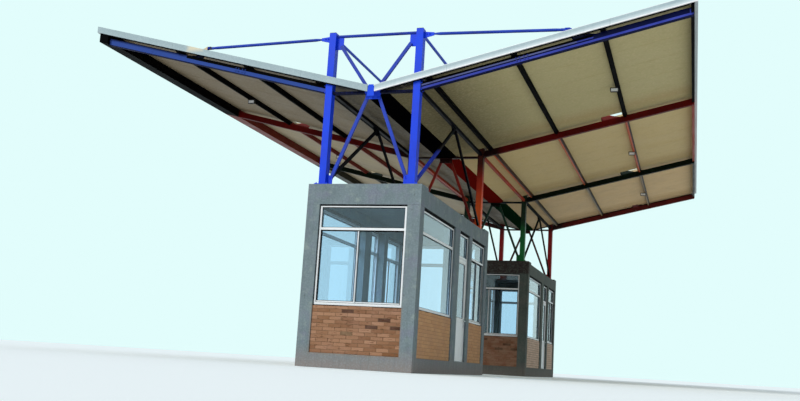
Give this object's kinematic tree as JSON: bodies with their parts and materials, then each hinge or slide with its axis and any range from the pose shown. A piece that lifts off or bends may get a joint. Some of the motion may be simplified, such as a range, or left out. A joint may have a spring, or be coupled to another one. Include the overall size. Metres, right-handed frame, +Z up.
{
  "type": "gatehouse of two guard booths under a butterfly canopy",
  "caption": "Two brick and concrete guard booths in line, carrying braced steel frames with a valley roof over both and over the lanes at their sides.",
  "frame": {"origin": "centre of the plan of the whole building, at ground level", "axes": "+Y runs back along the line of the booths and the roof's valley, +X to the right as seen from the front, +Z up"},
  "size_m": [12.5, 17.67, 7.0251],
  "materials": {
    "cast_concrete": "smooth cast concrete, stained",
    "brick": "fired facing brick in grey mortar",
    "white_frame_paint": "white powder coat",
    "window_glass": "clear float glass, pale blue",
    "blue_paint": "gloss enamel, chalked",
    "red_paint": "gloss enamel, chalked",
    "green_paint": "gloss enamel, chalked",
    "crimson_paint": "gloss enamel, chalked",
    "black_paint": "matt enamel",
    "orange_paint": "gloss enamel, chalked",
    "dark_green_paint": "gloss enamel",
    "gutter_paint": "galvanized and painted sheet",
    "roof_panel_paint": "cream-coated profiled sheet",
    "fascia_paint": "pale blue-grey coated sheet",
    "floodlight_housing": "dark cast housing"
  },
  "bodies": {
    "building": {"front_booth_base": "cast_concrete", "front_booth_columns": "cast_concrete", "front_booth_cross_beams": "cast_concrete", "front_booth_roof": "cast_concrete", "front_booth_brick_panels": "brick", "front_booth_window_frames": "white_frame_paint", "front_booth_glass": "window_glass", "front_booth_door_frame": "white_frame_paint", "rear_booth_base": "cast_concrete", "rear_booth_columns": "cast_concrete", "rear_booth_cross_beams": "cast_concrete", "rear_booth_roof": "cast_concrete", "rear_booth_brick_panels": "brick", "rear_booth_window_frames": "white_frame_paint", "rear_booth_glass": "window_glass", "rear_booth_door_frame": "white_frame_paint", "blue_posts": "blue_paint", "blue_rafters": "blue_paint", "blue_bracing": "blue_paint", "red_posts": "red_paint", "red_rafters": "red_paint", "red_bracing": "red_paint", "green_posts": "green_paint", "green_rafters": "green_paint", "green_bracing": "green_paint", "crimson_posts": "crimson_paint", "crimson_rafters": "crimson_paint", "crimson_bracing": "crimson_paint", "front_bay_purlins": "black_paint", "front_bay_side_bracing": "blue_paint", "middle_bay_purlins": "orange_paint", "middle_bay_side_bracing": "orange_paint", "rear_bay_purlins": "dark_green_paint", "rear_bay_side_bracing": "dark_green_paint", "valley_gutter": "gutter_paint", "left_roof_panel": "roof_panel_paint", "right_roof_panel": "roof_panel_paint", "end_fascias": "fascia_paint", "eave_fascias": "fascia_paint", "floodlights": "floodlight_housing"},
    "front_door": {"front_booth_door": "white_frame_paint", "front_booth_door_glass": "window_glass"},
    "rear_door": {"rear_booth_door": "white_frame_paint", "rear_booth_door_glass": "window_glass"}
  },
  "joints": [
    {"name": "front_door_hinge", "type": "hinge", "parent": "building", "child": "front_door", "pos_m": [1.3193, -5.6715, 1.3], "axis": [0, 0, -1], "range_deg": [0, 90]},
    {"name": "rear_door_hinge", "type": "hinge", "parent": "building", "child": "rear_door", "pos_m": [1.3193, 6.0785, 1.3], "axis": [0, 0, -1], "range_deg": [0, 90]}
  ]
}
